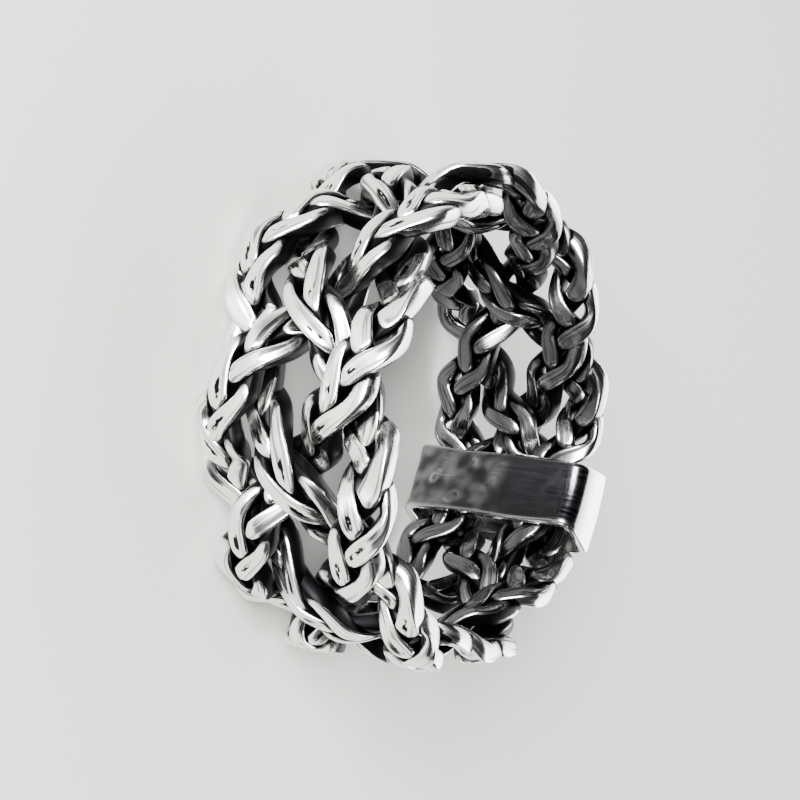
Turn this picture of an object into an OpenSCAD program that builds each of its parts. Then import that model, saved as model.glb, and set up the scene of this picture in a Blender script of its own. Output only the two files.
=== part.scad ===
// Braided band ring: four flat cords, each plaited from three wires, are braided
// over and under into a band whose two ends go into a plain sleeve at the back.
// The ring lies on its side, so the finger goes in along Z, and its front is at -Y.
// Lengths are in millimetres and angles in degrees.

/* [Band] */
// Diameter of the finger hole between the cords
bore_d = 18.9; // [17:0.1:22]
// Width of the band from rim to rim
band_w = 9.75; // [9:0.05:10.5]
// Angle round the ring from one rim touch to the next
touch_pitch = 39; // [37:0.5:41]
// Angle from the front to the cord that touches the upper rim first
first_touch = -62.5; // [-80:0.5:-40]
// How far the upper touch of a cord runs ahead of the lower one
touch_skew = 2.5; // [0:0.5:4]

/* [Cords] */
// Width of one plaited cord
cord_w = 2.65; // [2.4:0.05:2.7]
// Thickness of one plaited cord
cord_t = 1.2; // [1.0:0.05:1.3]
// Clearance between two cords where they cross
cross_gap = 0.2; // [0.1:0.02:0.3]
// Width of one wire in a cord
wire_w = 1.0; // [0.8:0.05:1.1]
// Thickness of one wire in a cord
wire_t = 0.56; // [0.4:0.02:0.6]
// Length of cord in which a wire goes across and back once
wire_turn = 8.7; // [7:0.1:11]

/* [Join sleeve] */
// Angle from the front to the middle of the sleeve
sleeve_at = 159; // [150:1:180]
// Length of the sleeve along the ring
sleeve_len = 4.1; // [3:0.1:6]
// Thickness of its sheet
sleeve_wall = 0.42; // [0.3:0.02:0.6]
// Clearance between the sheet and the cords
sleeve_gap = 0.1; // [0.08:0.02:0.2]
// How far the cord ends go into the sleeve
tuck = 0.8; // [0.5:0.1:1.5]

/* [Hidden] */

WIRES = 3;
FRONT = -90;
silver = [0.83, 0.83, 0.85];
bright = [0.90, 0.90, 0.92];

// Radius of the band's middle surface and the step of a cord above and below it
mid_r = bore_d / 2 + cord_t + cross_gap / 2;
ride_h = (cord_t + cross_gap) / 2;
swing = (band_w - cord_w) / 2;
pitch_len = mid_r * touch_pitch * PI / 180;

// Zigzag phase is 0 where a cord touches the upper rim and 180 at the lower one.
// From the upper rim down a cord goes over, under and over the cords it meets.
RIDE = [
    // phase, level
    [0, 0], [26, 1], [52, 1], [84, -1], [96, -1], [128, 1], [154, 1], [180, 0]
];
// Keeps the lean of a cord finite where it turns at a rim
lean_ease = 0.3;

// The band is drawn in a little where it enters the sleeve
sleeve_half = sleeve_len / 2 / mid_r * 180 / PI;
tuck_angle = tuck / mid_r * 180 / PI;
touch_end = (sleeve_at - sleeve_half + tuck_angle - first_touch) / touch_pitch;
touch_start = (sleeve_at - 360 + sleeve_half - tuck_angle - first_touch) / touch_pitch;
draw_in = 0.12;
draw_in_touches = 0.35;

// Cross section of the sleeve: [along the ring's radius, along the finger]
sleeve_inside = [
    2 * ride_h + cord_t + 2 * sleeve_gap,
    band_w - 2 * swing * draw_in + 2 * sleeve_gap
];
sleeve_outside = [sleeve_inside[0] + 2 * sleeve_wall, sleeve_inside[1] + 2 * sleeve_wall];
sleeve_inner_round = 0.5;

// The sleeve is a little wider than the band, and the ring rests on it
mid_z = max(band_w, sleeve_outside[1]) / 2;

// Each wire swings across the cord and rides over and under its neighbours
wire_swing = (cord_w - wire_w) / 2;
wire_rise = (cord_t - wire_t) / 2;
turn_touches = wire_turn / norm([pitch_len, swing * sqrt(2)]);
// The filled core where no wire lies
core_t = 0.5;

// The cord's cross section has a point on each edge and pairs between them
COLUMNS = [-0.78, -0.52, -0.26, 0, 0.26, 0.52, 0.78];
RINGS = 122;

function clamp(v, lo, hi) = min(max(v, lo), hi);

function ride(phase) =
    let (p = phase - 360 * floor(phase / 360))
    p > 180 ? -ride_level(360 - p) : ride_level(p);

function ride_level(p) = sin(90 * lookup(p, RIDE));

// Share of the full swing that a cord keeps, smaller near the two ends
function swing_share(u) =
    let (near_end = min(u - touch_start, touch_end - u) / draw_in_touches)
    1 - draw_in * (1 + cos(180 * clamp(near_end, 0, 1))) / 2;

// Course of a cord's middle at the touch count u: [angle, height, phase, heading]
function course(k, u) =
    let (
        phase = 90 * (u - k),
        reach = swing * swing_share(u),
        across = -reach * sin(phase) * PI / 2
    )
    [
        first_touch + touch_pitch * u + touch_skew * cos(phase),
        reach * cos(phase),
        phase,
        atan2(across, pitch_len)
    ];

// A cord leans so that it lies flat on the cords that it crosses
function lean(phase, heading) =
    let (s = sin(phase))
    -45 * sin(heading) / pitch_len
    - 90 / PI * cos(heading) / swing * s / (pow(s, 2) + pow(lean_ease, 2));

// Places of the wires in the cord's cross section: [sideways, outwards]
function wires(u) = [
    for (i = [0:WIRES - 1])
        let (turn = 360 * (u / turn_touches + i / WIRES))
        [wire_swing * cos(turn), wire_rise * sin(2 * turn)]
];

// How high a wire's back arches at a sideways place, below zero beside the wire
function arch(x, w) = wire_t / 2 * (1 - pow((x - w[0]) / (wire_w / 2), 2));

// Lowest and highest point of the wires at a sideways place, never thinner than the core
function slab(x, ws) = [
    min(-core_t / 2, min([for (w = ws) w[1] - arch(x, w)])),
    max(core_t / 2, max([for (w = ws) w[1] + arch(x, w)]))
];

// A point of a cord at sideways place x and height y above its middle surface
function cord_point(k, u, x, y) =
    let (
        c = course(k, u),
        r = mid_r + y + ride_h * ride(c[2] + lean(c[2], c[3]) * x),
        a = FRONT + c[0] - x * sin(c[3]) / mid_r * 180 / PI
    )
    [r * cos(a), r * sin(a), mid_z + c[1] + x * cos(c[3])];

// One closed ring of the cord: left edge, upper row, right edge, lower row
function cord_ring(k, u) =
    let (
        ws = wires(u),
        left = min([for (w = ws) w[0]]) - wire_w / 2,
        right = max([for (w = ws) w[0]]) + wire_w / 2,
        xs = [for (f = COLUMNS) (left + right) / 2 + f * (right - left) / 2],
        pairs = [for (x = xs) slab(x, ws)],
        n = len(COLUMNS)
    )
    concat(
        [cord_point(k, u, left, 0)],
        [for (i = [0:n - 1]) cord_point(k, u, xs[i], pairs[i][1])],
        [cord_point(k, u, right, 0)],
        [for (i = [n - 1:-1:0]) cord_point(k, u, xs[i], pairs[i][0])]
    );

// A solid swept through rings that all have the same number of points
module swept(rings) {
    n = len(rings[0]);
    last = (len(rings) - 1) * n;
    points = [for (r = rings) for (p = r) p];
    sides = [
        for (j = [0:len(rings) - 2])
            for (i = [0:n - 1])
                let (a = j * n + i, b = j * n + (i + 1) % n)
                each [[a, b, a + n], [b, b + n, a + n]]
    ];
    start_cap = [for (i = [1:n - 2]) [0, i + 1, i]];
    end_cap = [for (i = [1:n - 2]) [last, last + i, last + i + 1]];
    polyhedron(points, concat(sides, start_cap, end_cap));
}

module strand(k) {
    step = (touch_end - touch_start) / (RINGS - 1);
    color(silver)
        swept([for (j = [0:RINGS - 1]) cord_ring(k, touch_start + j * step)]);
}

module rounded_box(size, r) {
    square([size[0], size[1] - 2 * r], center = true);
    square([size[0] - 2 * r, size[1]], center = true);
    for (x = [-1, 1])
        for (y = [-1, 1])
            translate([x * (size[0] / 2 - r), y * (size[1] / 2 - r)])
                circle(r, $fn = 48);
}

// The sleeve is a flattened tube bent along the ring, open where the cords go in
module join_sleeve() {
    color(bright)
        translate([0, 0, mid_z])
            rotate([0, 0, FRONT + sleeve_at - sleeve_half])
                rotate_extrude(angle = 2 * sleeve_half, $fn = 96)
                    translate([mid_r, 0])
                        difference() {
                            rounded_box(sleeve_outside, sleeve_inner_round + sleeve_wall);
                            rounded_box(sleeve_inside, sleeve_inner_round);
                        }
}

strand(0);  // strand_1
strand(1);  // strand_2
strand(2);  // strand_3
strand(3);  // strand_4
join_sleeve();
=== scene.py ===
import math

import bpy
import numpy as np
from mathutils import Matrix, Vector


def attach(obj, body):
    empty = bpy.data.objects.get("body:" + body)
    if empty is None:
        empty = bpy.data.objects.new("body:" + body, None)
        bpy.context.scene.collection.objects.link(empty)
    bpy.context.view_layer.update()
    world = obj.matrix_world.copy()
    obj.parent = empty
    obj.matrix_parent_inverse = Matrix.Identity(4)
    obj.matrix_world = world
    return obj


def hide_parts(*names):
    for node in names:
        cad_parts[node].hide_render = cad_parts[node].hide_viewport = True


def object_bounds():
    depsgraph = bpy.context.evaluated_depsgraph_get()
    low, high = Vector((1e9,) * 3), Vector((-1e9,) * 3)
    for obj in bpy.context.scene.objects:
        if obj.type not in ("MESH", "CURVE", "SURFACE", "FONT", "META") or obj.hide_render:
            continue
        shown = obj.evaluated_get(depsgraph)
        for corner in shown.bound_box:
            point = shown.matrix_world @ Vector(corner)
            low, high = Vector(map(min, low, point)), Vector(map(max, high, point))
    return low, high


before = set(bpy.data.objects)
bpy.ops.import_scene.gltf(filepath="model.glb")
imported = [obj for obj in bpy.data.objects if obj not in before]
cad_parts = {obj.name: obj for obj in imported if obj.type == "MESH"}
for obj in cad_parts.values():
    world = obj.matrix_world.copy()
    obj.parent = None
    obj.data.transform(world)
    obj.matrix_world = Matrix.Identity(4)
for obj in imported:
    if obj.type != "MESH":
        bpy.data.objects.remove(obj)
cad_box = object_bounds()

# Sizes of the ring, in millimetres and degrees, as in the part's source
BORE_D = 18.9
BAND_W = 9.75
TOUCH_PITCH = 39.0
FIRST_TOUCH = -62.5
TOUCH_SKEW = 2.5
CORD_W = 2.65
CORD_T = 1.2
CROSS_GAP = 0.2
SLEEVE_AT = 159.0
SLEEVE_LEN = 4.1
SLEEVE_WALL = 0.42
SLEEVE_GAP = 0.1
SLEEVE_ROUND = 0.5
TUCK = 0.8
DRAW_IN = 0.12
DRAW_IN_TOUCHES = 0.35
LEAN_EASE = 0.3
FRONT = -90.0
STRANDS = ["strand_1", "strand_2", "strand_3", "strand_4"]

# Level of a cord from the upper rim down to the lower one, as in the part's source
RIDE = np.array([
    # phase, level
    (0, 0),
    (26, 1),
    (52, 1),
    (84, -1),
    (96, -1),
    (128, 1),
    (154, 1),
    (180, 0),
])

# Wires of a cord, and the length of cord in which a wire goes across it and back
WIRES = 3
WIRE_TURN = 8.8
# Half a turn of a wire, from one edge of the cord to the other: how far aside it lies, and its
# level, 1 where it crosses over a neighbour and -1 where it dives under one
TURN = np.array([
    # phase, aside, level
    (0, 1, 0),
    (36, 0.74, 0.4),
    (58, 0.48, 1),
    (80, 0.23, 1),
    (99, 0.03, 0.3),
    (118, -0.19, -1),
    (140, -0.52, -1),
    (162, -0.85, -0.5),
    (180, -1, 0),
])
PHASE, ASIDE, LEVEL = range(3)
# Degrees to each side over which the table's corners are eased, and the samples that it takes
ASIDE_EASE = 18
LEVEL_EASE = 12
EASE_SAMPLES = 9
# Share of a turn by which each cord's plait is ahead
PLAIT_START = [0.04, -0.15, -0.14, -0.13]
# Steps along and across a cord, in touches and in millimetres, that give a wire's directions
COURSE_STEP = 0.002
SIDE_STEP = 0.05

# Section of a wire before rolling, and how far it swings aside and rises from the cord's middle
WIRE_BREADTH = 0.85
WIRE_THICKNESS = 1.04
WIRE_SWING = 0.91
WIRE_RISE = 0.23
# A face is broader by this much in the middle of its leaf, at these phases, and narrower at its tips
WIRE_SPREAD = 0.12
OUTER_LEAF = 70
INNER_LEAF = 130
# How square the rolls left the section: 1 is an oval, and less is nearer to a box
SQUARENESS = 0.8
# Vertices round a wire, and rings along it
WIRE_SECTION = 34
WIRE_RINGS = 880

# A wire starts its dive this far outside a neighbour's edge and ends it this far inside, and
# keeps this much clear of the middle, as its neighbour does
DIVE_OUTSIDE = 0.15
DIVE_INSIDE = 0.2
MEETING_GAP = 0.01
# Half thickness of the rolled cord, how much less it is at the edges, and how softly the wires
# come up to it
ROLLED_FLAT_AT = 0.545
CORD_DOME = 0.12
FLAT_EASE = 0.04
# Wires are pressed outwards past the first of these distances from the band's middle, and in
# full past the second, and the rims are then filed smooth
RIM_FULL = (3.2, 4.4)
RIM_PUSH = 0.32
RIM_EASE = 0.2

# A crease along each face of a wire: its place and width as shares of the half breadth, its depth
CREASE_AT = 0.5
CREASE_WIDTH = 0.09
CREASE_DEPTH = 0.04
# A pit near a leaf's tip: its place and reach along the wire in degrees, its place and breadth
# as shares of the half breadth, and its depth
PIT_PHASE = 73
PIT_REACH = 21
PIT_AT = -0.1
PIT_BREADTH = 0.26
PIT_DEPTH = 0.07
# Width over which the black fades out at a cord's edges, and the distances from the band's
# middle between which the outer flanks turn bright
EDGE_SHINE = 0.12
RIM_SHINE = (3.1, 4.1)
# Distance between the patterns of two cords, a third of which lies between those of two wires
PATTERN_STEP = 10

# Vertices round the sleeve, and round the section of its sheet
SLEEVE_LOOP = 168
SLEEVE_SHEET = 120
# Rounding of the sheet's edges, the share of its wall by which they turn in, and over what reach
SLEEVE_EDGE = 0.13
BURR = 0.1
BURR_REACH = 0.16
# Share by which the sleeve is longer and shorter over its height
EDGE_WAVE = 0.03
# Depth of the dents, the distances from the open edges where the dents and the painted shade are
# full, and the height over which the spots fade out upwards
DENT = 0.07
DENT_INSET = 0.5
PAINTED_SHADE_INSET = 0.2
SPOT_FADE = 1.6

# Cells in which the cords' levels are compared for the painted shade under crossing cords, how far
# beside itself a cord counts, the most that it counts, and the rounds of softening
CELL = 0.06
CORNER_REACH = 0.3
CORNER_LIMIT = 1.5
SOFTENING = 14
# How sharply a face turns from the outer to the finger's side
FACING_BLEND = 2.5

# Colours of the finishes and of what is round the ring
POLISHED_WIRE = "#f6f5f2"
# Black of the oxide and of the painted shade
BLACK_OXIDE_AND_SHADE = "#0e0e0f"
# Painted shade on the finger's side of the wires
PAINTED_SHADE_TINT = "#8c8c90"
POLISHED_SHEET = "#e8e7e5"
# Painted shade on the finger's side of the sleeve, and lighter spots in it
PAINTED_SHADE_SHEET = "#4c4c50"
LIGHTER_SPOTS = "#9a9998"
PALE_FLOOR = "#b2b1ae"
DIM_ROOM = "#4a4a4d"

# The photograph's camera: how high it looks from, how it is turned and how far it stands
CAMERA_HEIGHT = 29.2
CAMERA_ROLL = 96.1
CAMERA_DISTANCE = 81.5
PIXELS_PER_MM = 20.96
RING_CENTRE_PX = (420.9, 413.9)
FRAME_PX = 800
SENSOR = 36.0

MM = 0.001
PER_MM = (1 / MM, 1 / MM, 1 / MM)
MID_R = BORE_D / 2 + CORD_T + CROSS_GAP / 2
MID_Z = cad_box[1][2] / MM / 2
CENTRE = Vector((0, 0, MID_Z * MM))
RIDE_H = (CORD_T + CROSS_GAP) / 2
SWING = (BAND_W - CORD_W) / 2
PITCH_LEN = MID_R * math.radians(TOUCH_PITCH)
SLEEVE_HALF = math.degrees(SLEEVE_LEN / 2 / MID_R)
TUCK_ANGLE = math.degrees(TUCK / MID_R)
TOUCH_END = (SLEEVE_AT - SLEEVE_HALF + TUCK_ANGLE - FIRST_TOUCH) / TOUCH_PITCH
TOUCH_START = (SLEEVE_AT - 360 + SLEEVE_HALF - TUCK_ANGLE - FIRST_TOUCH) / TOUCH_PITCH
TURN_TOUCHES = WIRE_TURN / math.hypot(PITCH_LEN, SWING * math.sqrt(2))
SLEEVE_INSIDE = (2 * RIDE_H + CORD_T + 2 * SLEEVE_GAP, BAND_W - 2 * SWING * DRAW_IN + 2 * SLEEVE_GAP)
SLEEVE_OUTSIDE = (SLEEVE_INSIDE[0] + 2 * SLEEVE_WALL, SLEEVE_INSIDE[1] + 2 * SLEEVE_WALL)
AROUND_CELLS = int(2 * math.pi * MID_R / CELL)
ACROSS_CELLS = int(2 * MID_Z / CELL) + 2
# Places of the colours among the inputs of a mix node, and of its colour among the outputs
MIX_FIRST, MIX_SECOND, MIX_RESULT = 6, 7, 2


def only(obj):
    """Selects one object alone and makes it active."""
    bpy.ops.object.select_all(action="DESELECT")
    obj.select_set(True)
    bpy.context.view_layer.objects.active = obj


def added(name):
    """Names the object that the last operator added."""
    obj = bpy.context.object
    obj.name = name
    obj.data.name = name
    return obj


def copied(obj, name):
    """A copy of an object with its own mesh."""
    twin = obj.copy()
    twin.data = obj.data.copy()
    twin.name = name
    twin.data.name = name
    bpy.context.scene.collection.objects.link(twin)
    return twin


def apply_modifier(obj, name, kind, **settings):
    """Adds a modifier with its settings and applies it."""
    only(obj)
    modifier = obj.modifiers.new(name, kind)
    for key, value in settings.items():
        setattr(modifier, key, value)
    bpy.ops.object.modifier_apply(modifier=name)


def turn_faces_outwards(obj):
    """Recalculates the normals of a closed mesh."""
    only(obj)
    bpy.ops.object.mode_set(mode="EDIT")
    bpy.ops.mesh.select_all(action="SELECT")
    bpy.ops.mesh.normals_make_consistent(inside=False)
    bpy.ops.object.mode_set(mode="OBJECT")


def vertices(obj):
    """The places of a mesh's vertices as an array."""
    points = np.zeros(len(obj.data.vertices) * 3)
    obj.data.vertices.foreach_get("co", points)
    return points.reshape(-1, 3)


def move_vertices(obj, points):
    """Puts every vertex of a mesh at its new place."""
    obj.data.vertices.foreach_set("co", points.reshape(-1))
    obj.data.update()


def write_attribute(obj, name, values):
    """Stores a number or a vector a vertex for the materials."""
    kind, key = ("FLOAT", "value") if values.ndim == 1 else ("FLOAT_VECTOR", "vector")
    attribute = obj.data.attributes.new(name, kind, "POINT")
    attribute.data.foreach_set(key, values.astype(np.float32).reshape(-1))


def unit(v):
    """Vectors of the same directions and of length 1."""
    return v / np.linalg.norm(v, axis=-1, keepdims=True)


def eased(share):
    """A share from 0 to 1 that starts and ends softly."""
    share = np.clip(share, 0, 1)
    return share * share * (3 - 2 * share)


def ride(phase):
    """Level of a cord, 1 over and -1 under the band's middle surface."""
    p = np.mod(phase, 360)
    level = np.sin(np.radians(90 * np.interp(np.minimum(p, 360 - p), RIDE[:, 0], RIDE[:, 1])))
    return np.where(p > 180, -level, level)


def swing_share(u):
    """Share of the full swing that a cord keeps, smaller near the sleeve."""
    near_end = np.clip(np.minimum(u - TOUCH_START, TOUCH_END - u) / DRAW_IN_TOUCHES, 0, 1)
    return 1 - DRAW_IN * (1 + np.cos(np.pi * near_end)) / 2


def cord_point(k, u, x, y):
    """Place in cord k at the touch count u, sideways x and outwards y."""
    phase = 90 * (u - k)
    reach = SWING * swing_share(u)
    heading = np.arctan2(-reach * np.sin(np.radians(phase)) * np.pi / 2, PITCH_LEN)
    # A cord leans so that it lies flat on the cords that it crosses
    s = np.sin(np.radians(phase))
    lean = -45 * np.sin(heading) / PITCH_LEN
    lean = lean - 90 / np.pi * np.cos(heading) / SWING * s / (s ** 2 + LEAN_EASE ** 2)
    r = MID_R + y + RIDE_H * ride(phase + lean * x)
    around = FIRST_TOUCH + TOUCH_PITCH * u + TOUCH_SKEW * np.cos(np.radians(phase))
    a = np.radians(FRONT + around) - x * np.sin(heading) / MID_R
    z = MID_Z + reach * np.cos(np.radians(phase)) + x * np.cos(heading)
    return np.stack([r * np.cos(a), r * np.sin(a), z], -1)


def half_turn(turn, column, ease, flips):
    """A column of the table at a turn, eased, with its sign turned in the second half."""
    near = turn[:, None] + np.linspace(-ease, ease, EASE_SAMPLES)
    way = np.where(np.mod(near, 360) < 180, 1, -1) if flips else 1
    return np.mean(way * np.interp(np.mod(near, 180), TURN[:, PHASE], TURN[:, column]), axis=1)


def wire_at(k, i, u):
    """Where wire i is in its turn at the touch count u, how far aside, and its level."""
    turn = 360 * (u / TURN_TOUCHES + i / WIRES + PLAIT_START[k])
    aside = WIRE_SWING * half_turn(turn, ASIDE, ASIDE_EASE, True)
    return turn, aside, half_turn(turn, LEVEL, LEVEL_EASE, False)


def wire_directions(k, i, u, x, y):
    """Middle of wire i, the ways aside and outwards from it, and its slope in the cord."""
    x_on = wire_at(k, i, u + COURSE_STEP)[1]
    x_back = wire_at(k, i, u - COURSE_STEP)[1]
    middle = cord_point(k, u, x, y)
    along = unit(cord_point(k, u + COURSE_STEP, x_on, y) - cord_point(k, u - COURSE_STEP, x_back, y))
    across = cord_point(k, u, x + SIDE_STEP, y) - cord_point(k, u, x - SIDE_STEP, y)
    out = unit(np.cross(along, across))
    out = out * np.sign(np.sum(out[:, :2] * middle[:, :2], axis=1, keepdims=True))
    # The way aside is the one in which x grows
    side = unit(np.cross(out, along))
    side = side * np.sign(np.sum(side * across, axis=1, keepdims=True))
    slope = np.arctan2((x_on - x_back) * TURN_TOUCHES, 2 * COURSE_STEP * WIRE_TURN)
    return middle, side, out, slope


def half_breadth(turn, outwards):
    """Half the breadth of a wire, each face broadest in the middle of the leaf that shows on it."""
    outer_share = (outwards + 1) / 2
    swell = outer_share * np.cos(np.radians(2 * (turn - OUTER_LEAF)))
    swell = swell + (1 - outer_share) * np.cos(np.radians(2 * (turn - INNER_LEAF)))
    return (WIRE_BREADTH + WIRE_SPREAD * swell) / 2


def crosses(k, i, u, x):
    """How fully wire i of cord k crosses a place, 1 well inside its edges and 0 beside it."""
    inside = WIRE_BREADTH / 2 + DIVE_OUTSIDE - np.abs(x - wire_at(k, i, u)[1])
    return eased(inside / (DIVE_OUTSIDE + DIVE_INSIDE))


def held_under(height, limit, ease=FLAT_EASE):
    """Limits a height softly from above."""
    return limit - ease * np.logaddexp(0, (limit - height) / ease)


def rolled_flat(height, over, under, x):
    """Height limited by the rolls and by the wires over and under it, and its depth below the rolls."""
    flat_at = ROLLED_FLAT_AT - CORD_DOME * (2 * x / CORD_W) ** 2
    top = flat_at - over * (flat_at + MEETING_GAP)
    bottom = -flat_at + under * (flat_at + MEETING_GAP)
    height = -held_under(-held_under(height, top), -bottom)
    return height, flat_at - np.abs(height)


def filed_rim(z, u):
    """Presses the wires a little towards the rims, and limits them to the smooth face there."""
    reach = np.abs(z - MID_Z)
    pressed = reach + RIM_PUSH * eased((reach - RIM_FULL[0]) / (RIM_FULL[1] - RIM_FULL[0]))
    limit = SWING * swing_share(u) + CORD_W / 2
    return MID_Z + np.sign(z - MID_Z) * held_under(pressed, limit, RIM_EASE)


def creased(sideways, outwards):
    """A crease along each face of a wire, on one side of its middle."""
    return np.exp(-((sideways * np.sign(outwards) - CREASE_AT) / CREASE_WIDTH) ** 2)


def has_pit(leaf, i, k):
    """Whether a leaf of a wire has a pit, which a sine of the three numbers chooses unevenly."""
    return np.sin(2.7 * leaf + 4.1 * i + 1.9 * k) > 0.2


def pitted(k, i, turn, sideways):
    """A long pit near the tips of some of the leaves of wire i."""
    on_leaf = (np.mod(turn, 180) - PIT_PHASE) / PIT_REACH
    chosen = has_pit(np.floor(turn / 180), i, k)
    return chosen * np.exp(-on_leaf ** 2 - ((sideways - PIT_AT) / PIT_BREADTH) ** 2)


def oxide_and_shade_depth(k, i, u, x, depth, from_middle):
    """Depth that holds black oxide and painted shade: less at a cord's edges, and on the outer flanks near
    the rims.
    """
    neighbours = [wire_at(k, j, u)[1] for j in (i + 1, i + 2)]
    beside = np.min([np.abs(x) - np.sign(x) * n for n in neighbours], axis=0) - WIRE_BREADTH / 2
    rim = np.interp(from_middle, RIM_SHINE, (0, 1))
    inner = np.clip((CORD_W / 2 - np.abs(x)) / EDGE_SHINE, 0, 1)
    return depth * inner * (1 - rim * np.clip(beside / EDGE_SHINE, 0, 1))


def lay_wire(obj, k, i):
    """Lays a straight wire, which lies along X from 0 to 1, on its course in cord k."""
    lengthwise, sideways, outwards = vertices(obj).T
    u = TOUCH_START + lengthwise * (TOUCH_END - TOUCH_START)
    turn, x, level = wire_at(k, i, u)
    y = WIRE_RISE * level
    middle, side, out, slope = wire_directions(k, i, u, x, y)
    # The section stands square to the wire, which slopes a little in the cord
    aside = sideways * half_breadth(turn, outwards)
    x_here = x + aside * np.cos(slope)
    u_here = u - aside * np.sin(slope) * TURN_TOUCHES / WIRE_TURN
    # The wire that is a third of a turn ahead lies over this one, and the last one under it
    over = crosses(k, i + 1, u_here, x_here)
    under = crosses(k, i + 2, u_here, x_here)
    height, depth = rolled_flat(y + outwards * WIRE_THICKNESS / 2, over, under, x_here)
    crease = creased(sideways, outwards)
    pit = pitted(k, i, turn, sideways)
    height = height - (CREASE_DEPTH * crease + PIT_DEPTH * pit) * outwards
    place = middle + aside[:, None] * side + (height - y)[:, None] * out
    place[:, 2] = filed_rim(place[:, 2], u)
    move_vertices(obj, place * MM)
    from_middle = np.abs(middle[:, 2] + x_here - x - MID_Z)
    on_wire = u * WIRE_TURN / TURN_TOUCHES
    round_wire = np.arctan2(outwards, sideways) * WIRE_BREADTH / 2
    own_pattern = np.full(len(u), PATTERN_STEP * (k + i / WIRES))
    write_attribute(obj, "crease", crease)
    write_attribute(obj, "pit", pit)
    write_attribute(obj, "groove_depth", oxide_and_shade_depth(k, i, u_here, x_here, depth, from_middle))
    write_attribute(obj, "wire_place", np.stack([on_wire, round_wire, own_pattern], -1))


def straight_wire(name):
    """A straight wire along X from 0 to 1, with a section 2 broad and 2 thick."""
    bpy.ops.object.select_all(action="DESELECT")
    upright = (math.pi / 2, 0, math.pi / 2)
    bpy.ops.mesh.primitive_circle_add(vertices=WIRE_SECTION, radius=1, rotation=upright)
    wire = added(name)
    bpy.ops.object.transform_apply(location=False, rotation=True, scale=True)
    v = vertices(wire)
    v[:, 1:] = np.sign(v[:, 1:]) * np.abs(v[:, 1:]) ** SQUARENESS
    v[:, 0] = 0
    move_vertices(wire, v)
    step = 1 / (WIRE_RINGS - 1)
    bpy.ops.object.mode_set(mode="EDIT")
    bpy.ops.mesh.select_all(action="SELECT")
    bpy.ops.mesh.extrude_region_move(TRANSFORM_OT_translate={"value": (step, 0, 0)})
    bpy.ops.object.mode_set(mode="OBJECT")
    apply_modifier(
        wire, "length", "ARRAY", count=WIRE_RINGS - 1, use_relative_offset=False, use_constant_offset=True,
        constant_offset_displace=(step, 0, 0), use_merge_vertices=True, merge_threshold=step / 4,
    )
    bpy.ops.object.mode_set(mode="EDIT")
    bpy.ops.mesh.select_all(action="DESELECT")
    bpy.ops.mesh.select_non_manifold()
    bpy.ops.mesh.fill_holes(sides=0)
    bpy.ops.object.mode_set(mode="OBJECT")
    turn_faces_outwards(wire)
    return wire


def plaited_cord(pattern, k):
    """The three wires of cord k, laid in their plait and joined as one piece."""
    wires = []
    for i in range(WIRES):
        wire = copied(pattern, "%s_wire_%d" % (STRANDS[k], i + 1))
        lay_wire(wire, k, i)
        wires.append(wire)
    only(wires[0])
    for wire in wires:
        wire.select_set(True)
    bpy.ops.object.join()
    cord = bpy.context.object
    cord.name = STRANDS[k] + "_plait"
    turn_faces_outwards(cord)
    bpy.ops.object.shade_smooth()
    return cord


def rounded_loop(size, corner, share):
    """Points on a rectangle with round corners, at shares of the way round it."""
    # These angles miss the axes, where the corner that a point belongs to would be in doubt
    angle = np.radians(np.arange(2, 365, 4))
    x = np.sign(np.cos(angle)) * (size[0] / 2 - corner) + corner * np.cos(angle)
    y = np.sign(np.sin(angle)) * (size[1] / 2 - corner) + corner * np.sin(angle)
    way = np.concatenate([[0], np.cumsum(np.hypot(np.diff(x), np.diff(y)))])
    return np.interp(share * way[-1], way, x), np.interp(share * way[-1], way, y)


def dents(height, along):
    """Soft waves of the sheet, mostly in the sleeve's lower half."""
    waves = np.sin(1.9 * height + 0.6) * np.cos(2.3 * along) + 0.6 * np.sin(3.7 * height - 1.2 * along)
    return waves * np.clip(0.6 - height / 3, 0.15, 1)


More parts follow.
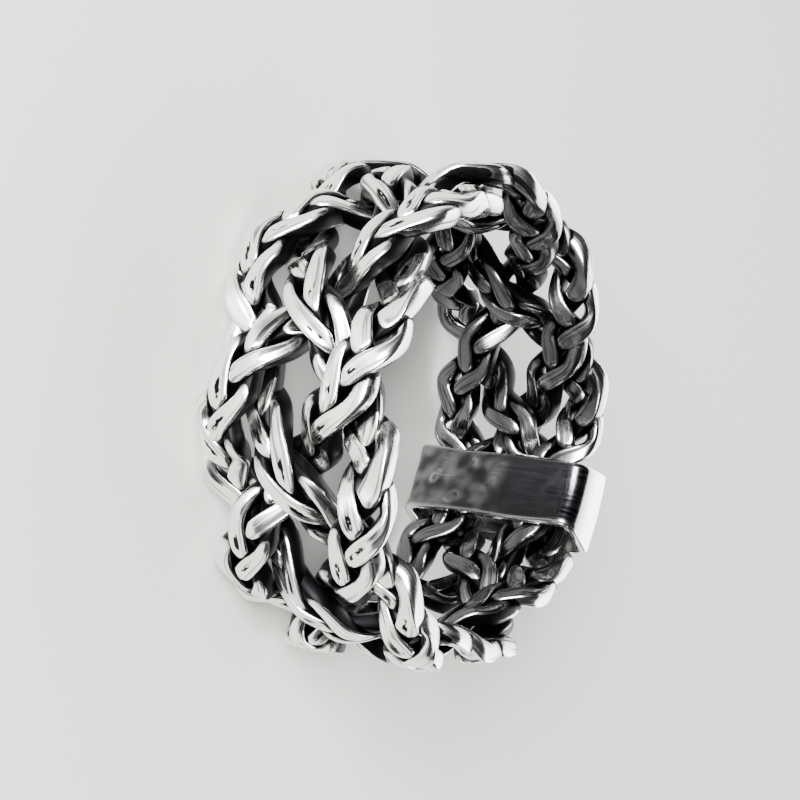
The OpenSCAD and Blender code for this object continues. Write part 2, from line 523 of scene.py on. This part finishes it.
def dented_sleeve():
    """The flattened tube at the back, of dented sheet with a burr along both open edges."""
    bpy.ops.object.select_all(action="DESELECT")
    start_r = 3
    bpy.ops.mesh.primitive_torus_add(
        major_segments=SLEEVE_LOOP, minor_segments=SLEEVE_SHEET, major_radius=start_r, minor_radius=1,
    )
    sleeve = added("join_sleeve_tube")
    v = vertices(sleeve)
    # Shares of the way round the tube, and of the way round the sheet's section
    round_tube = np.mod(np.arctan2(v[:, 1], v[:, 0]) / (2 * np.pi), 1)
    round_sheet = np.mod(np.arctan2(v[:, 2], np.hypot(v[:, 0], v[:, 1]) - start_r) / (2 * np.pi), 1)
    along, through = rounded_loop((SLEEVE_LEN, SLEEVE_WALL), SLEEVE_EDGE, round_sheet)
    inside = rounded_loop(SLEEVE_INSIDE, SLEEVE_ROUND, round_tube)
    outside = rounded_loop(SLEEVE_OUTSIDE, SLEEVE_ROUND + SLEEVE_WALL, round_tube)
    to_edge = SLEEVE_LEN / 2 - np.abs(along)
    share = 0.5 + through / SLEEVE_WALL - BURR * np.exp(-(to_edge / BURR_REACH) ** 2)
    depth = inside[0] + share * (outside[0] - inside[0])
    height = inside[1] + share * (outside[1] - inside[1])
    # Touch has dented the finger's side; painted shade darkens it, with lighter spots in its lower half
    finger_side = np.clip(-depth / (SLEEVE_INSIDE[0] / 2), 0, 1)
    dent = DENT * dents(height, along) * finger_side * np.clip(to_edge / DENT_INSET, 0, 1)
    r = MID_R + depth + dent
    angle = math.radians(FRONT + SLEEVE_AT) + (along + EDGE_WAVE * along * np.sin(height)) / MID_R
    move_vertices(sleeve, np.stack([r * np.cos(angle), r * np.sin(angle), MID_Z + height], -1) * MM)
    on_tube = 2 * sum(SLEEVE_OUTSIDE) * round_tube
    # Painted shade on the finger's side, full away from the open edges
    write_attribute(sleeve, "sleeve_painted_shade", finger_side * np.clip(to_edge / PAINTED_SHADE_INSET, 0, 1))
    write_attribute(sleeve, "spotted", np.clip(0.5 - height / SPOT_FADE, 0, 1))
    write_attribute(sleeve, "sheet_place", np.stack([on_tube, along, through], -1))
    turn_faces_outwards(sleeve)
    bpy.ops.object.shade_smooth()
    return sleeve


def cells_of(cord):
    """Radius, row and column of cells, and share of facing outwards, for each vertex of a cord."""
    v = vertices(cord) / MM
    r = np.hypot(v[:, 0], v[:, 1])
    row = np.floor(np.arctan2(v[:, 1], v[:, 0]) / (2 * np.pi) * AROUND_CELLS).astype(int) % AROUND_CELLS
    column = np.clip(np.floor(v[:, 2] / CELL).astype(int), 0, ACROSS_CELLS - 1)
    normals = np.zeros(len(v) * 3)
    cord.data.vertices.foreach_get("normal", normals)
    normals = normals.reshape(-1, 3)
    facing = (normals[:, 0] * v[:, 0] + normals[:, 1] * v[:, 1]) / r
    return r, row, column, np.clip(facing * FACING_BLEND, -1, 1) / 2 + 0.5


def spread(field, cells, pick):
    """Spreads each cell's value over its neighbours, round the ring and across the band."""
    out = field.copy()
    for n in range(1, cells + 1):
        out = pick(out, pick(np.roll(field, n, 0), np.roll(field, -n, 0)))
    wide = out.copy()
    for n in range(1, cells + 1):
        wide[:, n:] = pick(wide[:, n:], out[:, :-n])
        wide[:, :-n] = pick(wide[:, :-n], out[:, n:])
    return wide


def softened(field):
    """Smooths a field of cells by averaging each cell with its neighbours again and again."""
    for n in range(SOFTENING):
        field = (field + np.roll(field, 1, 0) + np.roll(field, -1, 0)) / 3
        beside = np.pad(field, ((0, 0), (1, 1)), mode="edge")
        field = (field + beside[:, 2:] + beside[:, :-2]) / 3
    return field


def extreme_radius(cords, start, pick):
    """Greatest or least radius that some cords reach near each cell, or the start value."""
    field = np.full((AROUND_CELLS, ACROSS_CELLS), start)
    for r, row, column, _ in cords:
        pick.at(field, (row, column), r)
    return softened(spread(field, int(CORNER_REACH / CELL), pick))


def mark_corners(cords):
    """Writes how far each point lies below the nearest other cord, for painted shade, and which way it
    faces.
    """
    places = [cells_of(cord) for cord in cords]
    for cord, own in zip(cords, places):
        others = [place for place in places if place is not own]
        highest = extreme_radius(others, MID_R - CORNER_LIMIT, np.maximum)
        lowest = extreme_radius(others, MID_R + CORNER_LIMIT, np.minimum)
        r, row, column, outer = own
        below = (highest[row, column] - r) * outer + (r - lowest[row, column]) * (1 - outer)
        write_attribute(cord, "corner_depth", below)
        write_attribute(cord, "finger_side", 1 - outer)


def linear(hex_code):
    """An sRGB hex colour as linear RGBA."""
    channels = [int(hex_code[i:i + 2], 16) / 255 for i in (1, 3, 5)]
    return [c / 12.92 if c <= 0.04045 else ((c + 0.055) / 1.055) ** 2.4 for c in channels] + [1.0]


def fill(tree, made, inputs):
    """Gives the inputs of a node their values, or links them to the outputs of other nodes."""
    for name, value in inputs.items():
        if isinstance(value, bpy.types.NodeSocket):
            tree.links.new(value, made.inputs[name])
        else:
            made.inputs[name].default_value = value


def node(tree, kind, output, inputs=None, **settings):
    """Adds a node with its settings, values and links, and gives one of its outputs."""
    made = tree.nodes.new(kind)
    for name, value in settings.items():
        setattr(made, name, value)
    fill(tree, made, inputs or {})
    return made.outputs[output]


def grain(tree, place, size_mm, detail, stretch):
    """Noise with grains of a real size, drawn out along an axis where stretch is under 1."""
    place = node(tree, "ShaderNodeVectorMath", "Vector", {0: place, 1: stretch}, operation="MULTIPLY")
    return node(tree, "ShaderNodeTexNoise", "Fac", {"Vector": place, "Scale": 1 / size_mm, "Detail": detail})


def new_material(name):
    """A material with its node tree and its shader."""
    material = bpy.data.materials.new(name)
    material.use_nodes = True
    tree = material.node_tree
    return material, tree, tree.nodes["Principled BSDF"]


def oxide_and_painted_shade(tree, wire):
    """Share of black: oxide with painted shade in grooves, painted shade in corners and creases, oxide in
    pits, and lines drawn out by rolling.
    """
    groove, corner, pit, crease = [
        node(tree, "ShaderNodeAttribute", "Fac", attribute_name=name)
        for name in ("groove_depth", "corner_depth", "pit", "crease")
    ]
    # The black in grooves and corners ends raggedly
    place = node(tree, "ShaderNodeTexCoord", "Object")
    mottle = grain(tree, place, size_mm=0.35, detail=6.0, stretch=PER_MM)
    ragged = node(tree, "ShaderNodeMapRange", "Result", {"Value": mottle, "To Min": -0.06, "To Max": 0.06})
    groove = node(tree, "ShaderNodeMath", "Value", {0: groove, 1: ragged}, operation="ADD")
    corner = node(tree, "ShaderNodeMath", "Value", {0: corner, 1: ragged}, operation="ADD")
    # Pits hold the oxide, and creases the painted shade, in patches
    pit_grain = grain(tree, wire, size_mm=0.2, detail=2.0, stretch=(0.5, 1.0, 1.0))
    pit_patches = node(
        tree, "ShaderNodeMapRange", "Result", {"Value": pit_grain, "From Min": 0.3, "From Max": 0.6},
        interpolation_type="SMOOTHSTEP",
    )
    pit = node(tree, "ShaderNodeMath", "Value", {0: pit, 1: pit_patches}, operation="MULTIPLY")
    crease_grain = grain(tree, wire, size_mm=0.5, detail=1.0, stretch=(0.3, 0.0, 1.0))
    crease_patches = node(
        tree, "ShaderNodeMapRange", "Result", {"Value": crease_grain, "From Min": 0.36, "From Max": 0.44},
        interpolation_type="SMOOTHSTEP",
    )
    # Rolling drew out thin black lines along the wires
    lines = grain(tree, wire, size_mm=0.2, detail=3.0, stretch=(0.07, 1.0, 1.0))
    black = 0.0
    # What holds black, where the black begins and is full, and how strong it gets
    for holder, begins, full, strength in (
        # Oxide in the grooves, with painted shade there too
        (groove, 0.05, 0.13, 1.0),
        # Painted shade under the cords that cross over
        (corner, 0.8, 1.3, 1.0),
        (pit, 0.25, 0.5, 1.0),
        # Painted shade along the creases
        (crease, 0.3, 0.8, crease_patches),
        (lines, 0.58, 0.68, 0.8),
    ):
        stain = node(
            tree, "ShaderNodeMapRange", "Result",
            {"Value": holder, "From Min": begins, "From Max": full, "To Max": strength},
            interpolation_type="SMOOTHSTEP",
        )
        black = node(tree, "ShaderNodeMath", "Value", {0: black, 1: stain}, operation="MAXIMUM")
    return black


def silver_with_oxide_and_painted_shade():
    """Silver wire: polished bright where a wheel reached it, with black oxide and painted shade in the
    grooves.
    """
    material, tree, shader = new_material("oxidised_silver_with_painted_shade")
    wire = node(tree, "ShaderNodeAttribute", "Vector", attribute_name="wire_place")
    black = oxide_and_painted_shade(tree, wire)
    colour = node(
        tree, "ShaderNodeMix", MIX_RESULT,
        {"Factor": black, MIX_FIRST: linear(POLISHED_WIRE), MIX_SECOND: linear(BLACK_OXIDE_AND_SHADE)},
        data_type="RGBA",
    )
    # Painted shade: the finger's side is darkened
    finger_side = node(tree, "ShaderNodeAttribute", "Fac", attribute_name="finger_side")
    colour = node(
        tree, "ShaderNodeMix", MIX_RESULT,
        {"Factor": finger_side, MIX_FIRST: colour, MIX_SECOND: linear(PAINTED_SHADE_TINT)},
        data_type="RGBA", blend_type="MULTIPLY",
    )
    # Polishing scratches run along the wires, coarser than real ones, so that they show
    scratches = grain(tree, wire, size_mm=0.07, detail=3.0, stretch=(0.04, 1.0, 1.0))
    worn = node(
        tree, "ShaderNodeMapRange", "Result",
        {"Value": scratches, "From Min": 0.3, "From Max": 0.75, "To Min": 0.12, "To Max": 0.32},
    )
    matt = node(tree, "ShaderNodeMath", "Value", {0: black, 1: 0.45}, operation="MULTIPLY")
    rough = node(tree, "ShaderNodeMath", "Value", {0: worn, 1: matt}, operation="MAXIMUM")
    raised = {"Height": scratches, "Strength": 0.35, "Distance": 0.012 * MM}
    normal = node(tree, "ShaderNodeBump", "Normal", raised)
    fill(tree, shader, {"Base Color": colour, "Roughness": rough, "Normal": normal, "Metallic": 1.0})
    return material


def polished_sheet():
    """Polished silver sheet: a mirror softened by fine wear, with painted shade and lighter spots on the
    finger's side.
    """
    material, tree, shader = new_material("polished_silver_sheet")
    place = node(tree, "ShaderNodeTexCoord", "Object")
    clouds = grain(tree, place, size_mm=1.0, detail=1.0, stretch=PER_MM)
    cloud_patches = node(
        tree, "ShaderNodeMapRange", "Result", {"Value": clouds, "From Min": 0.3, "From Max": 0.7},
        interpolation_type="SMOOTHSTEP",
    )
    spotted = node(tree, "ShaderNodeAttribute", "Fac", attribute_name="spotted")
    spots = node(tree, "ShaderNodeMath", "Value", {0: cloud_patches, 1: spotted}, operation="MULTIPLY")
    # Painted shade, lighter in spots
    shade_and_spots = node(
        tree, "ShaderNodeMix", MIX_RESULT,
        {"Factor": spots, MIX_FIRST: linear(PAINTED_SHADE_SHEET), MIX_SECOND: linear(LIGHTER_SPOTS)},
        data_type="RGBA",
    )
    sleeve_painted_shade = node(tree, "ShaderNodeAttribute", "Fac", attribute_name="sleeve_painted_shade")
    colour = node(
        tree, "ShaderNodeMix", MIX_RESULT,
        {"Factor": sleeve_painted_shade, MIX_FIRST: linear(POLISHED_SHEET), MIX_SECOND: shade_and_spots},
        data_type="RGBA",
    )
    # Polishing scratches run round the tube, coarser than real ones, so that they show
    sheet = node(tree, "ShaderNodeAttribute", "Vector", attribute_name="sheet_place")
    scratches = grain(tree, sheet, size_mm=0.09, detail=3.0, stretch=(0.04, 1.0, 1.0))
    rough = node(
        tree, "ShaderNodeMapRange", "Result",
        {"Value": scratches, "From Min": 0.3, "From Max": 0.75, "To Min": 0.1, "To Max": 0.3},
    )
    raised = {"Height": scratches, "Strength": 0.3, "Distance": 0.01 * MM}
    normal = node(tree, "ShaderNodeBump", "Normal", raised)
    fill(tree, shader, {"Base Color": colour, "Roughness": rough, "Normal": normal, "Metallic": 1.0})
    return material


def pale_paint():
    """Pale, matt paint: no shine beside the ring's own."""
    material, tree, shader = new_material("matt_pale_paint")
    fill(tree, shader, {"Base Color": linear(PALE_FLOOR), "Roughness": 0.8})
    return material


def finish_with(obj, material):
    """Gives an object its only material."""
    obj.data.materials.clear()
    obj.data.materials.append(material)


def softbox(name, place, size, power):
    """A rectangular area light that looks at the ring."""
    data = bpy.data.lights.new(name, "AREA")
    data.shape = "RECTANGLE"
    data.size, data.size_y = size
    data.energy = power
    light = bpy.data.objects.new(name, data)
    light.location = CENTRE + Vector(place)
    light.rotation_euler = (CENTRE - light.location).to_track_quat("-Z", "Y").to_euler()
    bpy.context.scene.collection.objects.link(light)


def photograph_camera():
    """The camera at the photograph's angle, with the ring where the photograph has it."""
    data = bpy.data.cameras.new("camera")
    camera = bpy.data.objects.new("camera", data)
    bpy.context.scene.collection.objects.link(camera)
    height = math.radians(CAMERA_HEIGHT)
    view = Vector((0, -math.cos(height), math.sin(height)))
    camera.location = CENTRE + view * CAMERA_DISTANCE * MM
    upright = (-view).to_track_quat("-Z", "Y").to_matrix().to_4x4()
    turned = upright @ Matrix.Rotation(math.radians(CAMERA_ROLL), 4, "Z")
    camera.matrix_world = Matrix.Translation(camera.location) @ turned
    data.sensor_width = SENSOR
    data.lens = SENSOR * PIXELS_PER_MM * CAMERA_DISTANCE / FRAME_PX
    data.shift_x = -(RING_CENTRE_PX[0] - FRAME_PX / 2) / FRAME_PX
    data.shift_y = (RING_CENTRE_PX[1] - FRAME_PX / 2) / FRAME_PX
    data.clip_start = 0.01
    data.clip_end = 10
    return camera


# The ring
pattern = straight_wire("straight_wire")
cords = [plaited_cord(pattern, k) for k in range(len(STRANDS))]
bpy.data.objects.remove(pattern)
mark_corners(cords)
silver = silver_with_oxide_and_painted_shade()
for cord, strand in zip(cords, STRANDS):
    finish_with(cord, silver)
    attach(cord, "root")
    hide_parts(strand)

sleeve = dented_sleeve()
finish_with(sleeve, polished_sheet())
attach(sleeve, "root")
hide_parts("join_sleeve")

# The floor and the dim room
bpy.ops.object.select_all(action="DESELECT")
bpy.ops.mesh.primitive_plane_add(size=2.0)
floor = added("floor")
finish_with(floor, pale_paint())
world = bpy.data.worlds.new("studio")
bpy.context.scene.world = world
world.use_nodes = True
background = world.node_tree.nodes["Background"]
fill(world.node_tree, background, {"Color": linear(DIM_ROOM), "Strength": 0.3})

# The key light stands low before the band, and a broad one behind the ring shines in the rims
softbox("key", place=(-0.06, -0.22, 0.1), size=(0.16, 0.1), power=5.6)
softbox("rear", place=(0.03, 0.24, 0.15), size=(0.6, 0.26), power=4.0)
bpy.context.scene.camera = photograph_camera()
